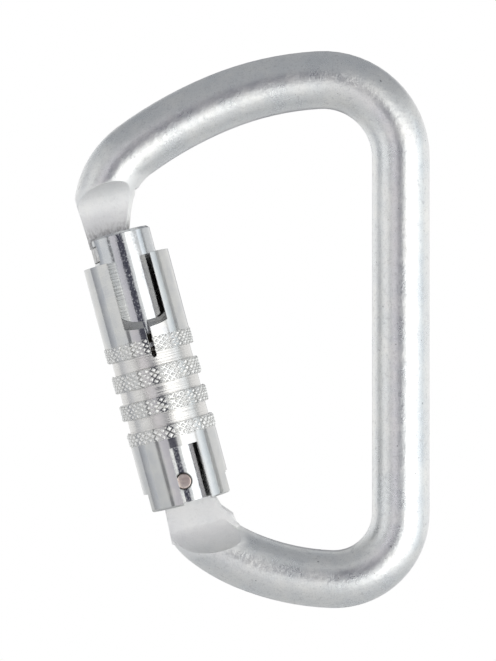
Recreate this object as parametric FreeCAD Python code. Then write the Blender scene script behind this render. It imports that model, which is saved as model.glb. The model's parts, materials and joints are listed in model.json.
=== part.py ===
import FreeCAD, Part
import os
from math import cos, degrees, sin, radians
from FreeCAD import Vector

# Steel offset-D locking carabiner: one bent bar, a hinged gate barrel and a lift-and-turn sleeve.
# Object frame: the connector stands in the XZ plane, +Z up, gate on the left, front face towards -Y.
# The origin is the middle of the top basket, on the inner surface of the bar.
# Gate frame: z runs up the gate from the hinge, x points into the opening, the front is -y.

# ---- driving dimensions, mm ----
BAR_R = 6.0                  # round steel bar, 12 mm
SPINE_X = 30.9               # spine centreline, from the drawing's centre
SPINE_TOP = 35.9
SPINE_BOTTOM = -38.0
TOP_ARCS = ((16.2, 93.3), (64.0, 19.0), (84.0, 14.0), (16.0, 47.0))      # (radius, turn in degrees)
BOTTOM_ARCS = ((13.9, 92.0), (51.0, 20.5), (36.0, 14.8), (12.0, 37.7))
NOSE_STUB = 12.0             # straight bar after the last top arc, before it is cut to shape
HINGE_STUB = 2.0
BASKET = (SPINE_X - TOP_ARCS[0][0], SPINE_TOP + TOP_ARCS[0][0] - BAR_R)  # top basket's inner surface

HINGE = (-14.17, -31.08)     # X and Z of the hinge pin
GATE_LEAN = 15.0             # the gate leans out by this angle

BARREL_R = 6.5
BARREL_TOP = 53.1
BARREL_BOTTOM = -4.4
BARREL_EDGE = 0.5            # broken edge at the barrel's top

CHEEK = 2.4                  # half thickness of the nose
NOSE_SCOOP_R = 7.54
NOSE_FLAT_TOP = 57.0         # the nose is flat up to here, then scoops out to the full bar
NOSE_OUTLINE = ((-6.5, 51.2), (-6.5, 53.2), (-6.92, 63.0), (12.0, 63.0),
                (5.6, 61.0), (5.2, 59.1), (2.9, 53.2), (2.2, 51.2))
NOSE_ZONE = 30.0             # the nose's outline cuts the bar from here
NOSE_TOP = 63.0              # up to here
HEAD = 4.0                   # half width of the T-shaped head under the nose
HEAD_BOTTOM = 48.5
HEAD_TOP = 51.2
HEAD_INNER = 1.8             # how far the head reaches past the gate axis
SEAT_INNER = 3.4             # the seat for the nose reaches this far past the gate axis
HEAD_DEPTH = 3.0             # the head and its pocket reach this far down before the swing trims them
TONGUE_INSET = 0.05          # the tongue sits this far inside the barrel's surface
SIDE_GAP = 0.1               # flat sliding gap each side
HEAD_GAP = 0.2

TANG = 2.6                   # half thickness of the hinge tang
TANG_SCOOP_R = 7.5
TANG_FLAT_BOTTOM = -9.7
HINGE_ZONE = (-8.0, 12.0)    # the bar is cut away here, and the tang's plate put in its place
TANG_OUTER = ((-4.2, 0.0), (-5.4, -3.0), (-5.5, -6.0), (-5.87, -12.3), (-2.0, -14.0))
TANG_INNER = ((4.9, 1.6), (5.0, -4.9), (5.4, -5.3), (6.0, -7.3), (7.9, -9.5), (8.1, -11.4), (8.6, -12.2))
CAM_H = 4.2                  # cam height over the hinge with the gate closed
CAM_RISE = 1.9               # cam rise per radian, the radius of its involute's base circle
CAM_SPARE = 4.0              # cam flank past the end of the travel, degrees
CAM_STEPS = 6
GATE_TRAVEL = 30.0

RIVET_R = 1.65
RIVET_GAP = 0.05
RIVET_HALF = 6.75
RIVET_EDGE = 0.35
SLOT_TOP = 7.0               # top of the barrel's hinge slot

BORE_R = 2.6
BORE_TOP = 44.0
PLUNGER_R = 2.52
PLUNGER_TOP = 13.0
PLUNGER_GAP = 0.03
PLUNGER_EDGE = 0.3
SPIGOT = 4.0                 # length of the plunger's spigot, inside the spring
SPRING_SEAT = 0.5            # the coil's centreline ends this far from its seats
GATE_TURNS = 18
GATE_SPRING_R = 1.9
GATE_WIRE = 0.8

SLEEVE_R = 9.04
SLEEVE_TOP = 47.3
SLEEVE_BOTTOM = -4.75
SLEEVE_BORE = 7.25
GROOVE_R = 8.35
GROOVES = ((24.3, 27.1), (18.1, 20.7), (12.0, 14.8))
LAND_R = 6.57
LAND = (30.3, 34.0)
CLOSE_BORE = (-175.0, 0.0)   # above the land the bore stays close to the barrel on the outer side
FOOT_EDGE = 0.5              # rounded edge at the sleeve's foot
SLEEVE_LIFT = 3.0
SLEEVE_TURN = 97.0

UPPER_SLOT_W = 9.1
UPPER_SLOT_AZ = 6.5          # azimuth from the front towards the opening, degrees
CUTTER_R = 12.0              # disc cutter that leaves the upper slot's sloping end
CUTTER_OUT = 14.0
CUTTER_Z = 43.4
SLOT_FLOOR = 5.0             # slot cutters stop here, inside the barrel's radius
SLIT_W = 1.0
SLIT_BOTTOM = 26.7
LOWER_SLOT_W = 6.1
LOWER_SLOT_AZ = 13.0
LOWER_SLOT_TOP = 7.2
NOTCH = (-262.0, -62.0)      # skirt cut away round the back, azimuths
NOTCH_TOP = -0.9
RELIEF_W = 5.6               # slot in the skirt on the opening side, for the tang
RELIEF_TOP = -0.3

BUSH = (7.3, 10.2)
BUSH_R = 6.57
WASHER = (10.3, 11.0)
WASHER_R = (6.6, 7.18)
KEY_W = 1.5                  # tab that keeps the washer from turning
KEY_R = 6.05
KEYWAY = (9.8, 14.6)
RING = (28.4, 29.3)
RING_R = (6.2, 7.12)
RING_GAP = 50.0              # opening of the C-shaped ring, degrees
PIN_Z = 32.0
PIN_R = 0.75
PIN_TIP = 7.12
PIN_ROOT = 4.4
TRACK_TOP = 32.85
TRACK_SLACK = 8.0            # track past the pin's centre at each end, degrees
SLEEVE_WIRE = 0.54
SLEEVE_COIL_R = 6.89
SLEEVE_COIL = (11.3, 27.8)
SLEEVE_TURNS = 7.0
LEG_OUT = 8.2                # tip of the spring leg that hooks in the sleeve's slit

FINE_GAP = 0.02              # play of a snug part in its groove
PAST = 1.0                   # how far a cutter runs past the surface it opens
CLEAR = 20.0                 # half size of a cutter that only has to clear the bar's thickness
WIDE = 30.0                  # half size of a cutter that only has to clear the end of the bar

# ---- frames and small helpers ----


def gate_placement():
    place = Vector(HINGE[0] - BASKET[0], 0, HINGE[1] - BASKET[1])
    return FreeCAD.Placement(place, FreeCAD.Rotation(Vector(0, 1, 0), -GATE_LEAN))


def to_object(shape):
    """A copy of a shape made in the gate frame, put in the object's frame."""
    placed = shape.copy()
    placed.Placement = gate_placement().multiply(placed.Placement)
    return placed


def cylinder(radius, low, high):
    return Part.makeCylinder(radius, high - low, Vector(0, 0, low))


def tube(outer, inner, low, high):
    return cylinder(outer, low, high).cut(cylinder(inner, low - PAST, high + PAST))


def box(x, y, z):
    """A box between the two ends given for each axis."""
    return Part.makeBox(x[1] - x[0], y[1] - y[0], z[1] - z[0], Vector(x[0], y[0], z[0]))


def prism(points, half):
    """The x, z outline as a plate of the given half thickness."""
    corners = [Vector(x, -half, z) for x, z in points]
    wire = Part.makePolygon(corners + corners[:1])
    return Part.Face(wire).extrude(Vector(0, 2 * half, 0))


def turned(shape, azimuth):
    """Turn a feature made at the front to its azimuth, towards the opening."""
    copy = shape.copy()
    copy.rotate(Vector(0, 0, 0), Vector(0, 0, 1), azimuth)
    return copy


def cross_hole(radius):
    """A round cutter on the hinge pin's axis."""
    return Part.makeCylinder(radius, 2 * CLEAR, Vector(0, -CLEAR, 0), Vector(0, 1, 0))


def sector(outer, inner, low, high, start, end):
    """A block of a tube between two azimuths."""
    corners = [Vector(r, 0, z) for r, z in ((inner, low), (outer, low), (outer, high), (inner, high))]
    face = Part.Face(Part.makePolygon(corners + corners[:1]))
    block = face.revolve(Vector(0, 0, 0), Vector(0, 0, 1), end - start)
    block.rotate(Vector(0, 0, 0), Vector(0, 0, 1), start - 90)
    return block


def coil(radius, wire, low, high, turns):
    """A round wire wound up the gate axis."""
    helix = Part.makeHelix((high - low) / turns, high - low, radius)
    helix.translate(Vector(0, 0, low))
    start = helix.Edges[0].Vertexes[0].Point
    section = Part.Wire(Part.makeCircle(wire / 2, start, Vector(0, 1, 0)))
    return Part.Wire(helix.Edges).makePipeShell([section], True, True)


# ---- the bar ----


def arc_path(start, heading, arcs, turn, stub):
    """Edges of tangent arcs in the XZ plane, then a straight stub. turn is 1 for left and -1 for right."""
    edges = []
    point = Vector(start[0], 0, start[1])
    for radius, angle in arcs:
        side = Vector(-sin(radians(heading)) * turn, 0, cos(radians(heading)) * turn)
        centre = point + side * radius

        def at(share):
            a = radians(heading + turn * angle * share)
            return centre + Vector(sin(a), 0, -cos(a)) * radius * turn

        edges.append(Part.Arc(at(0), at(0.5), at(1)).toShape())
        point = at(1)
        heading += turn * angle
    last = point + Vector(cos(radians(heading)), 0, sin(radians(heading))) * stub
    edges.append(Part.LineSegment(point, last).toShape())
    return edges


def swept_bar():
    up = arc_path((SPINE_X, SPINE_TOP), 90, TOP_ARCS, 1, NOSE_STUB)
    down = arc_path((SPINE_X, SPINE_BOTTOM), -90, BOTTOM_ARCS, -1, HINGE_STUB)
    spine = Part.LineSegment(Vector(SPINE_X, 0, SPINE_BOTTOM), Vector(SPINE_X, 0, SPINE_TOP)).toShape()
    path = Part.Wire(Part.__sortEdges__(down + [spine] + up))
    bar = None
    for edge in path.Edges:
        first, last = edge.ParameterRange
        centre, along = edge.valueAt(first), edge.tangentAt(first)
        circle = Part.Face(Part.Wire(Part.makeCircle(BAR_R, centre, along)))
        if edge.Curve.TypeId == "Part::GeomLine":
            piece = circle.extrude(edge.valueAt(last) - centre)
        else:
            axis = edge.Curve.Axis
            swing = degrees(last - first)
            piece = circle.revolve(edge.Curve.Center, axis, swing)
        bar = piece if bar is None else bar.fuse(piece)
    return bar.removeSplitter()


def scoops(half, radius, flat_end, away):
    """Both cheek cutters: flat over the bar's end, then a round scoop out. away is 1 if the bar goes up."""
    span = (-CLEAR, CLEAR)
    cut = None
    for front in (-1, 1):
        near = half * front
        ys = sorted((near, CLEAR * front))
        zs = sorted((flat_end, flat_end - CLEAR * away))
        slab = box(span, ys, zs)
        centre = Vector(span[0], near + radius * front, flat_end)
        scoop = Part.makeCylinder(radius, span[1] - span[0], centre, Vector(1, 0, 0))
        both = slab.fuse(scoop)
        cut = both if cut is None else cut.fuse(both)
    return cut


def cam_outline():
    """The tang's edge round the hinge: an involute flank that lifts the plunger evenly as the gate opens."""
    flank = []
    for i in range(CAM_STEPS + 1):
        a = radians(GATE_TRAVEL + CAM_SPARE) * i / CAM_STEPS
        height = CAM_H + CAM_RISE * a
        flank.append(Vector(height * sin(a) + CAM_RISE * cos(a), 0, height * cos(a) - CAM_RISE * sin(a)))
    curve = Part.BSplineCurve()
    curve.interpolate(flank)
    sides = [Vector(x, 0, z) for x, z in TANG_INNER + TANG_OUTER[::-1]]
    edges = [curve.toShape(), Part.LineSegment(flank[-1], sides[0]).toShape()]
    edges += [Part.LineSegment(a, b).toShape() for a, b in zip(sides, sides[1:])]
    shoulder = CAM_H * sin(radians(45))
    edges.append(Part.Arc(sides[-1], Vector(-shoulder, 0, shoulder), Vector(0, 0, CAM_H)).toShape())
    edges.append(Part.LineSegment(Vector(0, 0, CAM_H), flank[0]).toShape())
    return Part.Wire(Part.__sortEdges__(edges))


def make_body():
    bar = swept_bar()
    bar.translate(Vector(-BASKET[0], 0, -BASKET[1]))
    bar.Placement = gate_placement().inverse().multiply(bar.Placement)
    # the nose: flush outer edge, slanting inner edge, scooped cheeks
    nose_zone = box((-WIDE, WIDE), (-CLEAR, CLEAR), (NOSE_ZONE, NOSE_TOP))
    bar = bar.cut(nose_zone.cut(prism(NOSE_OUTLINE, CLEAR + PAST)))
    bar = bar.cut(scoops(CHEEK, NOSE_SCOOP_R, NOSE_FLAT_TOP, 1))
    neck = prism(NOSE_OUTLINE[:2] + NOSE_OUTLINE[-2:], CHEEK)
    # the head's foot follows the swing about the hinge, as the pocket's floor does
    head = box((-BARREL_R, HEAD_INNER), (-HEAD, HEAD), (HEAD_BOTTOM - HEAD_DEPTH, HEAD_TOP))
    head = head.cut(cross_hole(HEAD_BOTTOM))
    inside = cylinder(BARREL_R - TONGUE_INSET, HEAD_BOTTOM - HEAD_DEPTH, BARREL_TOP + SIDE_GAP)
    tongue = neck.fuse(head).common(inside)
    # the hinge tang, with the cam edge that works the plunger
    hinge_zone = box((-WIDE, WIDE), (-CLEAR, CLEAR), HINGE_ZONE)
    bar = bar.cut(hinge_zone)
    # the bar's outer side is trimmed in line with the tang
    edge_top, edge_foot = TANG_OUTER[2:4]
    trim = prism((edge_top, edge_foot, (-WIDE, edge_foot[1]), (-WIDE, edge_top[1])), CLEAR)
    bar = bar.cut(trim)
    bar = bar.cut(scoops(TANG, TANG_SCOOP_R, TANG_FLAT_BOTTOM, -1))
    plate = Part.Face(cam_outline())
    plate.translate(Vector(0, -TANG, 0))
    tang = plate.extrude(Vector(0, 2 * TANG, 0))
    body = bar.fuse([tongue, tang])
    hole = cross_hole(RIVET_R + RIVET_GAP)
    return body.cut(hole).removeSplitter()


# ---- the gate ----


def make_gate_barrel():
    barrel = cylinder(BARREL_R, BARREL_BOTTOM, BARREL_TOP)
    top = [e for e in barrel.Edges if abs(e.CenterOfMass.z - BARREL_TOP) < 1e-6 and e.Closed]
    barrel = barrel.makeChamfer(BARREL_EDGE, top)
    tang_slot = box((-CLEAR, CLEAR), (-TANG - SIDE_GAP, TANG + SIDE_GAP), (BARREL_BOTTOM - PAST, SLOT_TOP))
    barrel = barrel.cut(tang_slot)
    barrel = barrel.cut(cylinder(BORE_R, SLOT_TOP - PAST, BORE_TOP))
    # T-shaped seat for the nose, open at the top and on the outer side
    neck = CHEEK + SIDE_GAP
    seat = box((-CLEAR, SEAT_INNER), (-neck, neck), (HEAD_TOP, BARREL_TOP + PAST))
    pocket = box((-CLEAR, HEAD_INNER + HEAD_GAP), (-HEAD - SIDE_GAP, HEAD + SIDE_GAP),
                 (HEAD_BOTTOM - HEAD_DEPTH, HEAD_TOP + HEAD_GAP))
    # the pocket's floor follows the swing about the hinge
    barrel = barrel.cut(seat.fuse(pocket.cut(cross_hole(HEAD_BOTTOM - HEAD_GAP))))
    barrel = barrel.cut(tube(BARREL_R + PAST, RING_R[0], RING[0], RING[1]))
    key_half = KEY_W / 2 + SIDE_GAP
    key = box((-key_half, key_half), (KEY_R - SIDE_GAP, BARREL_R + PAST), KEYWAY)
    barrel = barrel.cut(key)
    pin = Part.makeCylinder(PIN_R, PIN_TIP - PIN_ROOT, Vector(0, PIN_ROOT, PIN_Z), Vector(0, 1, 0))
    return barrel.cut(cross_hole(RIVET_R)).cut(pin)


def make_hinge_rivet():
    rivet = Part.makeCylinder(RIVET_R, 2 * RIVET_HALF, Vector(0, -RIVET_HALF, 0), Vector(0, 1, 0))
    return rivet.makeFillet(RIVET_EDGE, [e for e in rivet.Edges if e.Closed])


def make_gate_plunger():
    low = CAM_H + PLUNGER_GAP
    plunger = cylinder(PLUNGER_R, low, PLUNGER_TOP)
    spigot_r = GATE_SPRING_R - GATE_WIRE / 2 - SIDE_GAP
    spigot = cylinder(spigot_r, PLUNGER_TOP - PAST, PLUNGER_TOP + SPIGOT)
    rim = [e for e in plunger.Edges if e.Closed and abs(e.CenterOfMass.z - low) < 1e-6]
    return plunger.makeChamfer(PLUNGER_EDGE, rim).fuse(spigot)


def make_gate_spring():
    return coil(GATE_SPRING_R, GATE_WIRE, PLUNGER_TOP + SPRING_SEAT, BORE_TOP - SPRING_SEAT, GATE_TURNS)


def make_guide_pin():
    length = PIN_TIP - PIN_ROOT - FINE_GAP
    return Part.makeCylinder(PIN_R, length, Vector(0, PIN_ROOT, PIN_Z), Vector(0, 1, 0))


def make_retaining_ring():
    ring = tube(RING_R[1], RING_R[0], RING[0] + FINE_GAP, RING[1] - FINE_GAP)
    gap = sector(SLEEVE_R, BORE_R, RING[0] - PAST, RING[1] + PAST, 180 - RING_GAP / 2, 180 + RING_GAP / 2)
    return ring.cut(gap)


# ---- the sleeve ----


def upper_slot():
    half = UPPER_SLOT_W / 2
    disc = Part.makeCylinder(CUTTER_R, UPPER_SLOT_W, Vector(-half, -CUTTER_OUT, CUTTER_Z), Vector(1, 0, 0))
    mouth = box((-half, half), (-CUTTER_OUT, -SLOT_FLOOR), (CUTTER_Z, SLEEVE_TOP + PAST))
    return turned(disc.fuse(mouth), UPPER_SLOT_AZ)


def slit():
    half = SLIT_W / 2
    run = box((-half, half), (-CUTTER_OUT, -SLOT_FLOOR), (SLIT_BOTTOM, CUTTER_Z - CUTTER_R / 2))
    depth = CUTTER_OUT - SLOT_FLOOR
    end = Part.makeCylinder(half, depth, Vector(0, -CUTTER_OUT, SLIT_BOTTOM), Vector(0, 1, 0))
    return turned(run.fuse(end), UPPER_SLOT_AZ)


def lower_slot():
    half = LOWER_SLOT_W / 2
    slot = box((-half, half), (-CUTTER_OUT, -SLOT_FLOOR), (SLEEVE_BOTTOM - PAST, LOWER_SLOT_TOP))
    return turned(slot, LOWER_SLOT_AZ)


def make_locking_sleeve():
    sleeve = cylinder(SLEEVE_R, SLEEVE_BOTTOM, SLEEVE_TOP)
    foot = [e for e in sleeve.Edges if e.Closed and abs(e.CenterOfMass.z - SLEEVE_BOTTOM) < 1e-6]
    sleeve = sleeve.makeFillet(FOOT_EDGE, foot)
    sleeve = sleeve.cut(cylinder(SLEEVE_BORE, SLEEVE_BOTTOM - PAST, LAND[0]))
    sleeve = sleeve.cut(cylinder(LAND_R, LAND[0] - PAST, SLEEVE_TOP + PAST))
    relieved = sector(SLEEVE_BORE, SLOT_FLOOR, LAND[1], SLEEVE_TOP + PAST, CLOSE_BORE[1], CLOSE_BORE[0] + 360)
    sleeve = sleeve.cut(relieved)
    for low, high in GROOVES:
        sleeve = sleeve.cut(tube(SLEEVE_R + PAST, GROOVE_R, low, high))
    track = sector(SLEEVE_BORE, SLOT_FLOOR, LAND[0] - PAST, TRACK_TOP,
                   180 - TRACK_SLACK, 180 + SLEEVE_TURN + TRACK_SLACK)
    notch = sector(CUTTER_OUT, SLOT_FLOOR, SLEEVE_BOTTOM - PAST, NOTCH_TOP, *NOTCH)
    relief = box((SLOT_FLOOR, CUTTER_OUT), (-RELIEF_W / 2, RELIEF_W / 2), (SLEEVE_BOTTOM - PAST, RELIEF_TOP))
    for feature in (upper_slot(), slit(), lower_slot(), track, notch, relief):
        sleeve = sleeve.cut(feature)
    return sleeve


def make_lower_guide_bush():
    return tube(SLEEVE_BORE, BUSH_R, *BUSH)


def make_thrust_washer():
    washer = tube(WASHER_R[1], WASHER_R[0], *WASHER)
    tab = box((-KEY_W / 2, KEY_W / 2), (KEY_R, sum(WASHER_R) / 2), WASHER)
    return washer.fuse(tab).removeSplitter()


def make_sleeve_spring():
    low, high = SLEEVE_COIL
    spring = coil(SLEEVE_COIL_R, SLEEVE_WIRE, low, high, SLEEVE_TURNS)
    end_azimuth = 90.0
    spring.rotate(Vector(0, 0, 0), Vector(0, 0, 1), UPPER_SLOT_AZ - end_azimuth)
    wire_r = SLEEVE_WIRE / 2
    leg = Part.makeCylinder(wire_r, LEG_OUT - SLEEVE_COIL_R, Vector(0, -LEG_OUT, high), Vector(0, 1, 0))
    elbow = Part.makeSphere(wire_r, Vector(0, -SLEEVE_COIL_R, high))
    return spring.fuse([turned(leg, UPPER_SLOT_AZ), turned(elbow, UPPER_SLOT_AZ)])


def main():
    os.makedirs("parts", exist_ok=True)
    makers = {
        "body": make_body,
        "gate_barrel": make_gate_barrel,
        "hinge_rivet": make_hinge_rivet,
        "gate_plunger": make_gate_plunger,
        "gate_spring": make_gate_spring,
        "guide_pin": make_guide_pin,
        "retaining_ring": make_retaining_ring,
        "locking_sleeve": make_locking_sleeve,
        "lower_guide_bush": make_lower_guide_bush,
        "thrust_washer": make_thrust_washer,
        "sleeve_spring": make_sleeve_spring,
    }
    for name, make in makers.items():
        shape = to_object(make())
        print(name, shape.ShapeType, "valid", shape.isValid(), "solids", len(shape.Solids),
              "volume", round(shape.Volume, 1))
        shape.exportStep(f"parts/{name}.step")


main()
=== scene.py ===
# %% [markdown]
# # A steel locking carabiner
# This lesson finishes a carabiner in Blender. Its shape was drawn beforehand in a CAD program, and
# arrives here as eleven separate parts: the bent bar, the gate barrel, the sleeve and what they hold.
# The CAD parts stay where they are. Blender adds the knurling, the broken edges, the metal and the light.

# %% Load the CAD frame
import json
from math import asin, cos, degrees, radians, sin

import bpy
from mathutils import Matrix, Vector


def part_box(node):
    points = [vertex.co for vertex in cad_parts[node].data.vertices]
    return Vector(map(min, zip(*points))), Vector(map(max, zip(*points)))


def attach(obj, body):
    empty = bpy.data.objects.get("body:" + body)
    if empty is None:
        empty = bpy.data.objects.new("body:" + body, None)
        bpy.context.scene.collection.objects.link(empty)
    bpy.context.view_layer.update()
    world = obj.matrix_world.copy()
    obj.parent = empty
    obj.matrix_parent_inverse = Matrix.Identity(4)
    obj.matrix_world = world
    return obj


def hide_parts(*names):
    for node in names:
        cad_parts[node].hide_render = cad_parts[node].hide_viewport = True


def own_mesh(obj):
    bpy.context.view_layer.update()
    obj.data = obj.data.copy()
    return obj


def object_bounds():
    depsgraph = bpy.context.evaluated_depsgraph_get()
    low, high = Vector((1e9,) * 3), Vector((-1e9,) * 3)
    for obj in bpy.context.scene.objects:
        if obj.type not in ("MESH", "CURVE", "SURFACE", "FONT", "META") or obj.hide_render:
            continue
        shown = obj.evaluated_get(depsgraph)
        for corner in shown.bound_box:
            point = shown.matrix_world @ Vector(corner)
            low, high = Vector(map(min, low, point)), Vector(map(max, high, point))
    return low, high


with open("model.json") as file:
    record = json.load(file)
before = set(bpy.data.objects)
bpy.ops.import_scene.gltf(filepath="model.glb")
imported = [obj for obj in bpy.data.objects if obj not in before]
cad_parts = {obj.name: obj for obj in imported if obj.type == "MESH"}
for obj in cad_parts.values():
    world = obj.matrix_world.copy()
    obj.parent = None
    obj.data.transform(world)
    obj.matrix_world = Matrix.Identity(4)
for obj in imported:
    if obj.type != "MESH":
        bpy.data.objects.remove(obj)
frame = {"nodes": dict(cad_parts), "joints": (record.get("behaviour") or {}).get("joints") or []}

MM = 0.001
cad_low, cad_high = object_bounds()
print("overall size, mm:", [round(v / MM, 1) for v in cad_high - cad_low])

# %% [markdown]
# ## The gate's own axes
# The gate leans outwards, so its details are easier to place in its own axes. They start at the hinge
# pin, with Z up the gate, X into the opening and -Y towards the front. The pin and the lean are read
# from the frame's joints, so the details follow if the design changes.

# %% The gate's axes
joints = {joint["name"]: joint for joint in frame["joints"]}
PIN = Vector(joints["gate_open"]["pos_m"])
UP_THE_GATE = Vector(joints["sleeve_lift"]["axis"])
GATE_LEAN = asin(-UP_THE_GATE.x)
GATE = Matrix.Translation(PIN) @ Matrix.Rotation(-GATE_LEAN, 4, "Y")


def size_up_the_gate(node):
    """How far a CAD node reaches along the gate from the pin, in metres."""
    heights = [(vertex.co - PIN).dot(UP_THE_GATE) for vertex in frame["nodes"][node].data.vertices]
    return min(heights), max(heights)


def radius_about_gate(node, low, high):
    """The largest distance from the gate's axis between two heights, in metres."""
    back = GATE.inverted()
    local = [back @ vertex.co for vertex in frame["nodes"][node].data.vertices]
    return max((p.x ** 2 + p.y ** 2) ** 0.5 for p in local if low <= p.z <= high)


SLEEVE_FOOT, SLEEVE_RIM = size_up_the_gate("locking_sleeve")
BARREL_RIM = size_up_the_gate("gate_barrel")[1]
rivet_low, rivet_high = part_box("hinge_rivet")
RIVET_R = (rivet_high.x - rivet_low.x) / 2
SLEEVE_R = radius_about_gate("locking_sleeve", SLEEVE_FOOT, SLEEVE_RIM)
print("gate leans", round(degrees(GATE_LEAN), 1), "degrees; sleeve radius", round(SLEEVE_R / MM, 2), "mm")

# %% [markdown]
# ## The camera
# The carabiner is looked at squarely, from half a metre, through a long lens. A long lens keeps the
# bar's thickness even from top to bottom, as in a catalogue picture.

# %% Camera
CAMERA_DISTANCE = 0.5
LENS = 130.7
AIM_OFFSET = Vector((-0.9, 0, -0.2)) * MM

middle = (cad_low + cad_high) / 2
camera = bpy.data.objects.new("camera", bpy.data.cameras.new("camera"))
bpy.context.scene.collection.objects.link(camera)
bpy.context.scene.camera = camera
camera.location = Vector((middle.x, 0, middle.z)) + AIM_OFFSET + Vector((0, -CAMERA_DISTANCE, 0))
camera.rotation_euler = (radians(90), 0, 0)
camera.data.lens = LENS
camera.data.clip_start = 0.05
camera.data.clip_end = 20
print("camera at", [round(v, 4) for v in camera.location])

# %% [markdown]
# ## The studio
# Bare metal has almost no colour of its own: it shows the room. So the room is built first. The walls
# are white and the ceiling is dimmer. The two blend between WALL_TOP and CEILING_EDGE, so that no hard
# line shows in the polished gate.

# %% Walls and ceiling
scene = bpy.context.scene
scene.view_settings.view_transform = "Standard"
CEILING = (0.60, 0.61, 0.62)
WALLS = (1.0, 1.0, 1.0)
WALL_TOP = 0.18              # upward part of a direction: up to here it looks at a wall
CEILING_EDGE = 0.55          # and past here at the ceiling


def white_room():
    """A world that is white round the sides and dimmer overhead."""
    world = bpy.data.worlds.new("white_room")
    world.use_nodes = True
    tree = world.node_tree
    direction = tree.nodes.new("ShaderNodeTexCoord").outputs["Generated"]
    upward = tree.nodes.new("ShaderNodeSeparateXYZ")
    ramp = tree.nodes.new("ShaderNodeValToRGB")
    ramp.color_ramp.elements[0].position = WALL_TOP
    ramp.color_ramp.elements[0].color = (*WALLS, 1)
    ramp.color_ramp.elements[1].position = CEILING_EDGE
    ramp.color_ramp.elements[1].color = (*CEILING, 1)
    tree.links.new(direction, upward.inputs["Vector"])
    tree.links.new(upward.outputs["Z"], ramp.inputs["Fac"])
    tree.links.new(ramp.outputs["Color"], tree.nodes["Background"].inputs["Color"])
    return world


scene.world = white_room()
print("walls", WALLS, "ceiling", CEILING)

# %% [markdown]
# ## Reflector cards
# Cards stand round the object, as in a real studio: a big light on the right that fades out round the
# side, a black card behind the camera, and grey ones on the left, close overhead and at the back. Each
# is a plane that glows and may fade from side to side. Its bearing and height say where the object sees
# it, so a strip of the metal is darkened by moving one card. The cards show only in reflections.

# %% Cards
VECTOR_IN = 6                # Map Range keeps its vector sockets after its plain ones, by number
VECTOR_RANGE = (7, 8, 9, 10)


def glow(name, left, right):
    """A glowing material that fades from the card's left edge to its right."""
    material = bpy.data.materials.new(name)
    material.use_nodes = True
    tree = material.node_tree
    tree.nodes.remove(tree.nodes["Principled BSDF"])
    across = tree.nodes.new("ShaderNodeSeparateXYZ")
    ramp = tree.nodes.new("ShaderNodeMapRange")
    ramp.data_type = "FLOAT_VECTOR"
    for number, colour in zip(VECTOR_RANGE, ((-0.5,) * 3, (0.5,) * 3, left, right)):
        ramp.inputs[number].default_value = colour
    light = tree.nodes.new("ShaderNodeEmission")
    tree.links.new(tree.nodes.new("ShaderNodeTexCoord").outputs["Object"], across.inputs["Vector"])
    tree.links.new(across.outputs["X"], ramp.inputs[VECTOR_IN])
    tree.links.new(ramp.outputs["Vector"], light.inputs["Color"])
    tree.links.new(light.outputs["Emission"], tree.nodes["Material Output"].inputs["Surface"])
    return material


def card(name, bearings, heights, left, right, distance):
    """A flat card facing the object. Bearings run round from the camera, plus to the right; degrees."""
    bearing = radians(sum(bearings) / 2)
    height = radians(sum(heights) / 2)
    wide = 2 * distance * sin(radians(bearings[1] - bearings[0]) / 2)
    tall = 2 * distance * sin(radians(heights[1] - heights[0]) / 2)
    towards = Vector((-sin(bearing) * cos(height), cos(bearing) * cos(height), -sin(height)))
    bpy.ops.mesh.primitive_plane_add(size=1)
    board = bpy.context.active_object
    board.name = name
    board.scale = (wide, tall, 1)
    board.rotation_euler = (-towards).to_track_quat("Z", "Y").to_euler()
    board.location = middle - towards * distance
    board.data.materials.append(glow(name, left, right))
    board.visible_camera = False
    board.visible_shadow = False


# name, bearings, heights, colour on the left, colour on the right, distance in metres
CARDS = (
    ("key_light", (16, 66), (-62, 25), (2.2, 2.2, 2.15), (1.6, 1.6, 1.62), 0.80),
    ("key_fade", (66, 97), (-55, 35), (1.5, 1.55, 1.6), (0.55, 0.62, 0.66), 0.86),
    ("black_card", (-15, 9), (-12, 42), (0.09, 0.09, 0.12), (0.09, 0.09, 0.12), 0.95),
    ("lilac_card", (-37, -15), (-35, 30), (0.90, 0.87, 0.90), (0.72, 0.69, 0.74), 0.90),
    ("dark_strip", (-49, -39), (-30, 30), (0.30, 0.30, 0.31), (0.30, 0.30, 0.31), 0.85),
    ("canopy", (-90, 90), (0, 180), (0.39, 0.40, 0.42), (0.39, 0.40, 0.42), 0.12),
    ("back_card", (168, 192), (-35, 35), (0.25, 0.25, 0.27), (0.25, 0.25, 0.27), 0.95),
    ("left_shade", (-112, -84), (-35, 35), (0.42, 0.43, 0.46), (0.78, 0.80, 0.84), 0.95),
)
for settings in CARDS:
    card(*settings)
print("cards:", [settings[0] for settings in CARDS])

# %% [markdown]
# ## The floor
# The object hangs well above a pale floor, which is too low to be seen from the front. The floor
# brightens towards its rim, to soften the line between it and the white walls in views from above.

# %% Floor
FLOOR_DROP = 0.4
FLOOR_RADIUS = 2.2
RIM_GLOW = 0.35
GLOW_STARTS = 0.2


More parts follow.
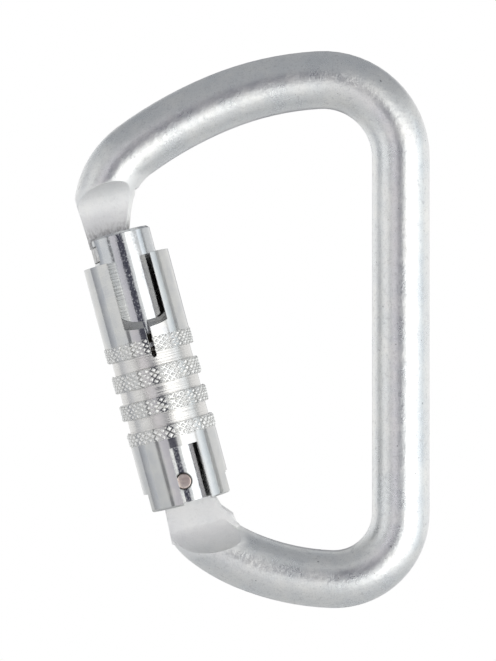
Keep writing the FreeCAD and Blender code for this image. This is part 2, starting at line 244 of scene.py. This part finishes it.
def pale_floor():
    material = bpy.data.materials.new("pale_floor")
    material.use_nodes = True
    tree = material.node_tree
    shader = tree.nodes["Principled BSDF"]
    shader.inputs["Base Color"].default_value = (0.85, 0.85, 0.85, 1)
    shader.inputs["Roughness"].default_value = 0.9
    shader.inputs["Emission Color"].default_value = (1, 1, 1, 1)
    outwards = tree.nodes.new("ShaderNodeVectorMath")
    outwards.operation = "LENGTH"
    rise = tree.nodes.new("ShaderNodeMapRange")
    rise.inputs["From Min"].default_value = GLOW_STARTS
    rise.inputs["From Max"].default_value = FLOOR_RADIUS * 0.9
    rise.inputs["To Max"].default_value = RIM_GLOW
    tree.links.new(tree.nodes.new("ShaderNodeTexCoord").outputs["Object"], outwards.inputs[0])
    tree.links.new(outwards.outputs["Value"], rise.inputs["Value"])
    tree.links.new(rise.outputs["Result"], shader.inputs["Emission Strength"])
    return material


bpy.ops.mesh.primitive_circle_add(vertices=96, radius=FLOOR_RADIUS, fill_type="NGON",
                                  location=(middle.x, 0, cad_low.z - FLOOR_DROP))
floor = bpy.context.active_object
floor.name = "floor"
floor.data.materials.append(pale_floor())
print("floor", round(FLOOR_DROP / MM), "mm below the object")

# %% [markdown]
# ## Helpers for materials
# A metal is built from a few noises: large ones stain its colour, middle ones change how sharp its
# reflections are, and fine ones roughen its surface. These helpers keep each material short. Every
# pattern is laid out in the object's own metres, so it stays in place as the gate moves.

# %% A metal, a place and a noise


def new_metal(name, roughness):
    """A metal material and its node tree."""
    material = bpy.data.materials.new(name)
    material.use_nodes = True
    shader = material.node_tree.nodes["Principled BSDF"]
    shader.inputs["Metallic"].default_value = 1.0
    shader.inputs["Roughness"].default_value = roughness
    return material, material.node_tree, shader


def show(material):
    """Print a finished material's name and its number of nodes, and hand it back."""
    print(material.name, "nodes:", len(material.node_tree.nodes))
    return material


def place(tree, scale=(1, 1, 1), along_gate=False):
    """Where a point is, in the object's metres or in the gate's own axes, stretched by scale."""
    here = tree.nodes.new("ShaderNodeTexCoord").outputs["Object"]
    if along_gate:
        turn = tree.nodes.new("ShaderNodeMapping")
        turn.vector_type = "TEXTURE"
        turn.inputs["Location"].default_value = PIN
        turn.inputs["Rotation"].default_value = (0, -GATE_LEAN, 0)
        tree.links.new(here, turn.inputs["Vector"])
        here = turn.outputs["Vector"]
    stretch = tree.nodes.new("ShaderNodeMapping")
    stretch.inputs["Scale"].default_value = scale
    tree.links.new(here, stretch.inputs["Vector"])
    return stretch.outputs["Vector"]


def noise(tree, where, size, detail=3.0, roughness=0.55):
    """A cloudy noise whose blotches are about size metres across."""
    texture = tree.nodes.new("ShaderNodeTexNoise")
    texture.inputs["Scale"].default_value = 1 / size
    texture.inputs["Detail"].default_value = detail
    texture.inputs["Roughness"].default_value = roughness
    tree.links.new(where, texture.inputs["Vector"])
    return texture.outputs["Fac"]


# %% [markdown]
# A noise lies between nought and one. Spreading part of it over new values turns it into a mask, a
# roughness or the amount of a second colour. Two masks are multiplied to keep only where both are on.

# %% Masks and colours


def spread(tree, value, start, end, low=0.0, high=1.0):
    """The value between start and end, spread from low to high."""
    ramp = tree.nodes.new("ShaderNodeMapRange")
    ramp.inputs["From Min"].default_value = start
    ramp.inputs["From Max"].default_value = end
    ramp.inputs["To Min"].default_value = low
    ramp.inputs["To Max"].default_value = high
    tree.links.new(value, ramp.inputs["Value"])
    return ramp.outputs["Result"]


def mixed(tree, amount, first, second):
    """A colour between two others. Each is three numbers or another node's output."""
    mix = tree.nodes.new("ShaderNodeMix")
    mix.data_type = "RGBA"
    tree.links.new(amount, mix.inputs["Factor"])
    for socket, colour in (("A", first), ("B", second)):
        inputs = [i for i in mix.inputs if i.name == socket and i.type == "RGBA"]
        if isinstance(colour, tuple):
            inputs[0].default_value = (*colour, 1)
        else:
            tree.links.new(colour, inputs[0])
    return next(o for o in mix.outputs if o.type == "RGBA")


def both(tree, first, second):
    """Two masks multiplied: on where both are on."""
    product = tree.nodes.new("ShaderNodeMath")
    product.operation = "MULTIPLY"
    tree.links.new(first, product.inputs[0])
    tree.links.new(second, product.inputs[1])
    return product.outputs["Value"]


def raised(tree, value, mask, amount):
    """A value, raised by amount where the mask is on."""
    total = tree.nodes.new("ShaderNodeMath")
    total.operation = "MULTIPLY_ADD"
    tree.links.new(mask, total.inputs[0])
    total.inputs[1].default_value = amount
    tree.links.new(value, total.inputs[2])
    return total.outputs["Value"]


# %% [markdown]
# Relief too fine to model is left to the normal: it tilts the reflections and moves nothing. No machined
# edge is truly sharp, so the normal is also turned smoothly over each edge, which catches the light.

# %% Relief


def bump(tree, height, depth, below=None):
    """Relief of the given depth in metres, on top of any relief below it."""
    relief = tree.nodes.new("ShaderNodeBump")
    relief.inputs["Distance"].default_value = depth
    tree.links.new(height, relief.inputs["Height"])
    if below is not None:
        tree.links.new(below, relief.inputs["Normal"])
    return relief.outputs["Normal"]


def round_edges(tree, radius):
    """A normal that turns smoothly over sharp edges, as if they were broken to this radius."""
    bevel = tree.nodes.new("ShaderNodeBevel")
    bevel.samples = 4
    bevel.inputs["Radius"].default_value = radius
    return bevel.outputs["Normal"]


# %% [markdown]
# ## The bar's two ends
# The nose and the hinge tang are milled after the bar is bent, so they are cleaner and duller than the
# rest. The nose's foot, just above the barrel, is darkened in streaks as painted shade. Both places are
# masks in the gate's own axes.

# %% Masks for the bar's ends
MILLED_REACH = 10 * MM       # how far into the opening the milled faces come
MILLED_LOW = -16.5 * MM      # heights above the hinge pin, up the gate
MILLED_HIGH = 64 * MM
FOOT_SHADE_HEIGHT = 3 * MM         # above the barrel's rim
HEAD_DEPTH = 11 * MM         # below the rim: the nose's head, hidden in the barrel, ends above this


def gate_axes(tree):
    """How far a point is along each of the gate's axes."""
    axes = tree.nodes.new("ShaderNodeSeparateXYZ")
    tree.links.new(place(tree, along_gate=True), axes.inputs["Vector"])
    return axes.outputs


def milled_ends(tree):
    """A mask over the scooped nose and hinge tang, which are milled after the bar is bent."""
    axes = gate_axes(tree)
    near_gate = spread(tree, axes["X"], MILLED_REACH, MILLED_REACH - 1 * MM)
    above = spread(tree, axes["Z"], MILLED_LOW, MILLED_LOW + 1 * MM)
    below = spread(tree, axes["Z"], MILLED_HIGH, MILLED_HIGH - 0.8 * MM)
    return both(tree, near_gate, both(tree, above, below))


def nose_foot_shade(tree):
    """A mask that grows towards the nose's foot, for the painted shade just above the barrel's rim."""
    height = gate_axes(tree)["Z"]
    on_nose = spread(tree, height, BARREL_RIM - HEAD_DEPTH, BARREL_RIM - HEAD_DEPTH + 1 * MM)
    return both(tree, on_nose, spread(tree, height, BARREL_RIM + FOOT_SHADE_HEIGHT, BARREL_RIM))


print("milled from", round(MILLED_LOW / MM, 1), "to", round(MILLED_HIGH / MM, 1), "mm above the pin")

# %% [markdown]
# ## Zinc plating on the bar
# The bar is steel, shot-blasted lightly and zinc plated. It reflects softly, with a fine grain that
# breaks the edges of the reflections, faint cloudy stains, and a few dark pits.

# %% Satin zinc


def satin_zinc():
    material, tree, shader = new_metal("satin_zinc", 0.3)
    here = place(tree)
    milled = milled_ends(tree)
    clouds = noise(tree, here, 7 * MM, 5.0, 0.6)
    grain = noise(tree, here, 0.28 * MM, 3.0, 0.6)
    spots = noise(tree, here, 1.1 * MM, 4.0, 0.7)
    pits = noise(tree, here, 0.8 * MM, 1.0)
    base = mixed(tree, spread(tree, clouds, 0.35, 0.65), (0.74, 0.76, 0.77), (0.86, 0.86, 0.84))
    speckled = mixed(tree, spread(tree, grain, 0.50, 0.70, 0, 0.35), base, (0.46, 0.46, 0.47))
    spotted = mixed(tree, spread(tree, spots, 0.55, 0.75, 0, 0.5), speckled, (0.42, 0.42, 0.43))
    pitted = mixed(tree, spread(tree, pits, 0.76, 0.80, 0, 0.7), spotted, (0.22, 0.22, 0.23))
    bare = both(tree, milled, spread(tree, clouds, 0.2, 0.8, 0.5, 0.9))
    cleaned = mixed(tree, bare, pitted, (0.93, 0.93, 0.92))
    # Painted shade: the nose's foot, just above the barrel's rim, is darkened in streaks, standing in for
    # the barrel's shadow.
    streaks = noise(tree, place(tree, (1, 1, 0.55), True), 0.5 * MM, 4.0, 0.7)
    foot_shade_streaks = both(tree, nose_foot_shade(tree), spread(tree, streaks, 0.42, 0.62, 0.15, 0.6))
    painted_foot_shade = both(tree, milled, foot_shade_streaks)
    tree.links.new(mixed(tree, painted_foot_shade, cleaned, (0.20, 0.19, 0.18)), shader.inputs["Base Color"])
    rough = spread(tree, clouds, 0.3, 0.7, 0.25, 0.34)
    rough = raised(tree, rough, spread(tree, spots, 0.5, 0.7), 0.12)
    tree.links.new(raised(tree, rough, milled, 0.22), shader.inputs["Roughness"])
    relief = bump(tree, grain, 0.030 * MM, round_edges(tree, 0.25 * MM))
    relief = bump(tree, noise(tree, here, 0.9 * MM, 3.0), 0.05 * MM, relief)
    tree.links.new(relief, shader.inputs["Normal"])
    return material


ZINC = show(satin_zinc())

# %% [markdown]
# ## The polished barrel
# The barrel is polished and plated, close to a mirror, so most of its look is the room. Its colour is
# painted dark as shade in the seam round the rivet, and near-black as shade under the sleeve, where the
# slit looks in.

# %% Polished barrel
SHADE_UNDER_SLEEVE_LOW = 9 * MM          # heights above the hinge pin
SHADE_UNDER_SLEEVE_HIGH = 31.8 * MM
SEAM_OUTER = 0.35 * MM       # round the rivet
SEAM_INNER = 0.05 * MM


def distance_from(tree, counted):
    """Distance from the gate's axis, counted (1, 1, 0), or from the hinge pin's, counted (1, 0, 1)."""
    length = tree.nodes.new("ShaderNodeVectorMath")
    length.operation = "LENGTH"
    tree.links.new(place(tree, counted, True), length.inputs[0])
    return length.outputs["Value"]


def polished_metal():
    material, tree, shader = new_metal("polished_metal", 0.08)
    here = place(tree, along_gate=True)
    clouds = noise(tree, here, 4 * MM, 4.0)
    base = mixed(tree, spread(tree, clouds, 0.3, 0.7), (0.54, 0.56, 0.58), (0.64, 0.65, 0.65))
    # Painted shade: a dark ring on the barrel round the rivet, in the seam between them.
    from_pin = distance_from(tree, (1, 0, 1))
    rivet_seam_shade = spread(tree, from_pin, RIVET_R + SEAM_OUTER, RIVET_R + SEAM_INNER, 0, 0.9)
    base = mixed(tree, rivet_seam_shade, base, (0.05, 0.045, 0.04))
    # Painted shade: the barrel is near-black under the sleeve, where the slit looks in.
    height = gate_axes(tree)["Z"]
    shade_under_sleeve = both(tree, spread(tree, height, SHADE_UNDER_SLEEVE_LOW, SHADE_UNDER_SLEEVE_LOW + 1 * MM),
                        spread(tree, height, SHADE_UNDER_SLEEVE_HIGH, SHADE_UNDER_SLEEVE_HIGH - 0.8 * MM))
    base = mixed(tree, shade_under_sleeve, base, (0.02, 0.018, 0.015))
    scratches = noise(tree, place(tree, (1, 1, 0.06), True), 0.25 * MM, 3.0, 0.7)
    specks = noise(tree, here, 0.35 * MM, 2.0)
    dusty = mixed(tree, spread(tree, specks, 0.62, 0.75, 0, 0.4), base, (0.85, 0.85, 0.88))
    tree.links.new(dusty, shader.inputs["Base Color"])
    tree.links.new(spread(tree, specks, 0.45, 0.8, 0.07, 0.4), shader.inputs["Roughness"])
    relief = bump(tree, noise(tree, here, 1.2 * MM), 0.012 * MM, round_edges(tree, 0.12 * MM))
    tree.links.new(bump(tree, scratches, 0.006 * MM, relief), shader.inputs["Normal"])
    return material


POLISHED = show(polished_metal())

# %% [markdown]
# ## The turned sleeve
# The sleeve is turned on a lathe before plating. The tool leaves rings that are clear in the grooves and
# faint elsewhere, so their depth follows the distance from the gate's axis.

# %% Turned sleeve
RINGS_OUTSIDE = 0.08         # share of the rings' depth that is left outside the grooves


def turned_metal():
    material, tree, shader = new_metal("turned_metal", 0.16)
    here = place(tree, along_gate=True)
    radius = distance_from(tree, (1, 1, 0))
    in_groove = spread(tree, radius, SLEEVE_R - 0.2 * MM, SLEEVE_R - 0.5 * MM)
    rings = noise(tree, place(tree, (0.02, 0.02, 1), True), 0.30 * MM, 2.0, 0.7)
    clouds = noise(tree, here, 3 * MM, 4.0)
    base = mixed(tree, spread(tree, clouds, 0.3, 0.7), (0.54, 0.55, 0.56), (0.64, 0.64, 0.62))
    warm = mixed(tree, in_groove, base, (0.74, 0.73, 0.71))
    tree.links.new(warm, shader.inputs["Base Color"])
    smooth = spread(tree, clouds, 0.3, 0.7, 0.09, 0.17)
    tree.links.new(raised(tree, smooth, in_groove, 0.14), shader.inputs["Roughness"])
    lines = both(tree, rings, spread(tree, in_groove, 0, 1, RINGS_OUTSIDE, 1))
    relief = bump(tree, lines, 0.10 * MM, round_edges(tree, 0.15 * MM))
    relief = bump(tree, noise(tree, here, 1.0 * MM), 0.006 * MM, relief)
    tree.links.new(relief, shader.inputs["Normal"])
    return material


TURNED = show(turned_metal())

# %% [markdown]
# The knurl's diamonds are painted bright on their tops as a highlight, and dark between them as shade in
# the hollows, so their colour follows the distance from the gate's axis too.

# %% Knurled metal


def knurl_metal():
    """The knurl's diamonds: painted highlight on their tops, painted shade between."""
    material, tree, shader = new_metal("knurled_metal", 0.2)
    here = place(tree, along_gate=True)
    # Painted highlight on the diamonds' tops and painted shade in the hollows between them, by distance
    # from the axis.
    height = spread(tree, distance_from(tree, (1, 1, 0)), SLEEVE_R - 0.05 * MM, SLEEVE_R + 0.15 * MM)
    tree.links.new(mixed(tree, height, (0.62, 0.61, 0.58), (0.97, 0.97, 0.95)), shader.inputs["Base Color"])
    grain = noise(tree, here, 0.5 * MM, 3.0)
    tree.links.new(spread(tree, grain, 0.3, 0.7, 0.44, 0.60), shader.inputs["Roughness"])
    tree.links.new(bump(tree, grain, 0.08 * MM), shader.inputs["Normal"])
    return material


KNURLED = show(knurl_metal())

# %% [markdown]
# ## The rivet
# The hinge rivet's end is peened over and pinkish, with painted shade in the seam round it.

# %% Rivet


def rivet_metal():
    """The rivet's peened end: pinkish, with painted shade in the seam round it."""
    material, tree, shader = new_metal("rivet_copper", 0.28)
    here = place(tree)
    clouds = noise(tree, here, 1.0 * MM, 4.0)
    copper = mixed(tree, spread(tree, clouds, 0.35, 0.65), (0.66, 0.54, 0.50), (0.84, 0.74, 0.69))
    # Painted shade: the rivet's rim is darkened, standing in for the shadow in the gap round it.
    rivet_rim_shade = spread(tree, distance_from(tree, (1, 0, 1)), RIVET_R - 0.30 * MM, RIVET_R - 0.06 * MM, 0, 0.95)
    tree.links.new(mixed(tree, rivet_rim_shade, copper, (0.06, 0.05, 0.045)), shader.inputs["Base Color"])
    tree.links.new(bump(tree, clouds, 0.05 * MM), shader.inputs["Normal"])
    return material


RIVET = show(rivet_metal())

# %% [markdown]
# ## The inner pieces
# The springs, washer, bush, ring and pins show only when the gate is open or through the slots, so one
# short material serves them all, in three colours.

# %% Inner metals


def small_metal(name, light, dark, roughness):
    """Spring wire, ring, washer, pin or bush: a plain metal with stains and a fine grain."""
    material, tree, shader = new_metal(name, roughness)
    here = place(tree)
    clouds = noise(tree, here, 1.5 * MM, 4.0)
    stained = mixed(tree, spread(tree, clouds, 0.35, 0.65), dark, light)
    tree.links.new(stained, shader.inputs["Base Color"])
    uneven = spread(tree, clouds, 0.3, 0.7, roughness * 0.7, roughness * 1.3)
    tree.links.new(uneven, shader.inputs["Roughness"])
    tree.links.new(bump(tree, noise(tree, here, 0.2 * MM), 0.008 * MM), shader.inputs["Normal"])
    return material


WIRE = small_metal("greasy_spring_wire", (0.16, 0.15, 0.14), (0.07, 0.065, 0.06), 0.35)
INNER = small_metal("plain_steel", (0.55, 0.56, 0.58), (0.40, 0.41, 0.42), 0.3)
BRASS = small_metal("bush_brass", (0.80, 0.65, 0.38), (0.62, 0.48, 0.26), 0.3)
print("inner metals:", [material.name for material in (WIRE, INNER, BRASS)])

# %% [markdown]
# ## Finishes on the CAD parts
# A finish is given to a CAD part through its material slots. The part's own mesh isn't touched.

# %% Finishes
FINISHES = {
    "body": ZINC, "gate_barrel": POLISHED, "locking_sleeve": TURNED, "hinge_rivet": RIVET,
    "gate_spring": WIRE, "sleeve_spring": WIRE, "lower_guide_bush": BRASS,
    "gate_plunger": INNER, "guide_pin": INNER, "retaining_ring": INNER, "thrust_washer": INNER,
}
for node, finish in FINISHES.items():
    for material_slot in frame["nodes"][node].material_slots:
        material_slot.material = finish
print("finishes:", len(set(FINISHES.values())))

# %% [markdown]
# ## The knurled bands
# Four bands of diamond knurling give the fingers a hold. A knurl is pressed in by two wheels with
# slanting teeth, which leave rows of small diamonds. It could be drawn as a bump, but the bands show
# against the background, so they are real geometry. All four are made by the same functions.

# %% Knurl sizes
KNURL_COLUMNS = 38
KNURL_RAISED = 0.32 * MM
KNURL_TIP = 0.10 * MM
KNURL_BASE = SLEEVE_R - 0.10 * MM
KNURL_SLOPE = 0.26 * MM
KNURL_WALL = 0.5 * MM
KNURL_JITTER = 0.15 * MM
SAME_HEIGHT = 0.01 * MM
# lower end and upper end in mm above the hinge pin, rows of diamonds
BANDS = ((27.1, 30.4, 3), (20.7, 24.3, 3), (14.8, 18.1, 3), (9.2, 12.0, 2))
print("knurl:", len(BANDS), "bands of", KNURL_COLUMNS, "columns")

# %% [markdown]
# An operator acts on whatever is selected, and loading the frame leaves its parts selected. So these
# helpers clear the selection before they open or apply anything.

# %% Editing helpers


def clear_selection():
    for thing in bpy.context.selected_objects:
        thing.select_set(False)


def edit(piece):
    """Open one piece in edit mode, with nothing selected in it."""
    clear_selection()
    piece.select_set(True)
    bpy.context.view_layer.objects.active = piece
    bpy.ops.object.mode_set(mode="EDIT")
    bpy.ops.mesh.select_all(action="DESELECT")


def close_edit():
    bpy.ops.object.mode_set(mode="OBJECT")


def apply_place(piece):
    """Move the piece's place into its mesh, so that its object sits at the origin."""
    clear_selection()
    piece.select_set(True)
    bpy.context.view_layer.objects.active = piece
    bpy.ops.object.transform_apply(location=True, rotation=True, scale=True)


def finish_modifiers(piece):
    bpy.context.view_layer.objects.active = piece
    for modifier in list(piece.modifiers):
        bpy.ops.object.modifier_apply(modifier=modifier.name)


def select_edges(piece, wanted):
    """Select only the edges that wanted(edge, vertices) says yes to."""
    bpy.ops.mesh.select_all(action="DESELECT")
    bpy.ops.object.mode_set(mode="OBJECT")
    vertices = piece.data.vertices
    for edge in piece.data.edges:
        edge.select = wanted(edge, vertices)
    bpy.ops.object.mode_set(mode="EDIT")


def upright(edge, vertices):
    first, last = (vertices[i].co for i in edge.vertices)
    return abs(first.z - last.z) > SAME_HEIGHT


def edge_uses(piece):
    """How many faces use each edge."""
    uses = {}
    for face in piece.data.polygons:
        for key in face.edge_keys:
            uses[key] = uses.get(key, 0) + 1
    return uses


# %% [markdown]
# The ring starts as an open cylinder, cut into squares. Poking a square adds an X across it, and taking
# the square's own sides away leaves diamonds, as two wheels with slanting teeth press them. The points
# are shaken a little, so that no two diamonds are quite alike. Then each is inset and raised, and its
# top is drawn up to a low point.

# %% One ring of diamonds


def ring_of_squares(name, low, high, rows):
    """An open ring between two heights on the gate, divided into squares."""
    clear_selection()
    bpy.ops.mesh.primitive_cylinder_add(vertices=KNURL_COLUMNS, radius=KNURL_BASE, depth=high - low,
                                        end_fill_type="NOTHING", location=(0, 0, (low + high) / 2))
    band = bpy.context.active_object
    band.name = name
    apply_place(band)
    edit(band)
    bpy.ops.mesh.select_mode(type="EDGE")
    select_edges(band, upright)
    bpy.ops.mesh.subdivide(number_cuts=rows - 1)
    close_edit()
    return band


def knurled_band(name, low, high, rows, seed):
    """A ring of raised diamonds between two heights on the gate, made about Z at the origin."""
    band = ring_of_squares(name, low, high, rows)
    squares = {edge.key for edge in band.data.edges}
    border = {key for key, count in edge_uses(band).items() if count == 1}
    bpy.ops.object.mode_set(mode="EDIT")
    bpy.ops.mesh.select_all(action="SELECT")
    bpy.ops.mesh.poke()
    select_edges(band, lambda edge, vertices: edge.key in squares and edge.key not in border)
    bpy.ops.mesh.dissolve_edges(use_verts=False)
    bpy.ops.mesh.select_all(action="SELECT")
    bpy.ops.transform.vertex_random(offset=KNURL_JITTER, seed=seed)
    bpy.ops.mesh.select_mode(type="FACE")
    bpy.ops.mesh.inset(thickness=KNURL_SLOPE, depth=KNURL_RAISED, use_individual=True)
    bpy.ops.mesh.poke(offset=KNURL_TIP)
    close_edit()
    return band


# %% [markdown]
# The sleeve's slit runs down through the top band. The band is sliced along both sides of the slit, and
# the faces between the two cuts are deleted.

# %% Slit in the top band
SLIT_BEARING = radians(6.5)  # round from the front, towards the opening
SLIT_HALF_WIDTH = 0.5 * MM
print("slit width, mm:", round(2 * SLIT_HALF_WIDTH / MM, 2))


def cut_slit(band):
    """Open the band at the sleeve's slit: slice it along both sides, then delete what lies between."""
    across = Vector((cos(SLIT_BEARING), sin(SLIT_BEARING), 0))
    outwards = Vector((sin(SLIT_BEARING), -cos(SLIT_BEARING), 0))
    edit(band)
    for side in (-1, 1):
        bpy.ops.mesh.select_all(action="SELECT")
        bpy.ops.mesh.bisect(plane_co=across * SLIT_HALF_WIDTH * side, plane_no=across)
    bpy.ops.mesh.select_all(action="DESELECT")
    bpy.ops.mesh.select_mode(type="FACE")
    bpy.ops.object.mode_set(mode="OBJECT")
    for face in band.data.polygons:
        centre = face.center
        face.select = abs(centre.dot(across)) < SLIT_HALF_WIDTH and centre.dot(outwards) > 0
    bpy.ops.object.mode_set(mode="EDIT")
    bpy.ops.mesh.delete(type="FACE")
    close_edit()


# %% [markdown]
# The finished ring is given a wall so that it is a closed shell, and leaned over with the gate.

# %% Knurled bands


def lean_with_gate(piece):
    """Carry a piece made about Z at the origin to its place on the gate."""
    piece.data.transform(GATE)
    piece.data.update()


def add_wall(piece, thickness):
    wall = piece.modifiers.new("wall", "SOLIDIFY")
    wall.thickness = thickness
    wall.offset = -1
    wall.use_even_offset = False
    finish_modifiers(piece)


for number, (low, high, rows) in enumerate(BANDS, 1):
    band = knurled_band(f"knurled_band_{number}", low * MM, high * MM, rows, number)
    if number == 1:
        cut_slit(band)
    add_wall(band, KNURL_WALL)
    lean_with_gate(band)
    band.data.materials.append(KNURLED)
    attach(band, "sleeve")
    print(band.name, "faces:", len(band.data.polygons))

# %% [markdown]
# ## The springs
# Both springs were drawn as stiff wire, which would let the parts they push on run through them. Each
# is copied, its loose triangles are joined, and the copy takes the CAD spring's place on the gate.

# %% Spring copies


def shortening_spring(node):
    """Copy a CAD spring, join its loose triangles, and hang the copy on the gate in its place."""
    clear_selection()
    source = frame["nodes"][node]
    spring = bpy.data.objects.new(node + "_coil", source.data.copy())
    bpy.context.scene.collection.objects.link(spring)
    edit(spring)
    bpy.ops.mesh.select_all(action="SELECT")
    bpy.ops.mesh.remove_doubles(threshold=0.001 * MM)
    close_edit()
    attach(spring, "gate")
    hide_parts(node)
    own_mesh(spring)
    spring.data.materials.clear()
    spring.data.materials.append(WIRE)


shortening_spring("sleeve_spring")
shortening_spring("gate_spring")
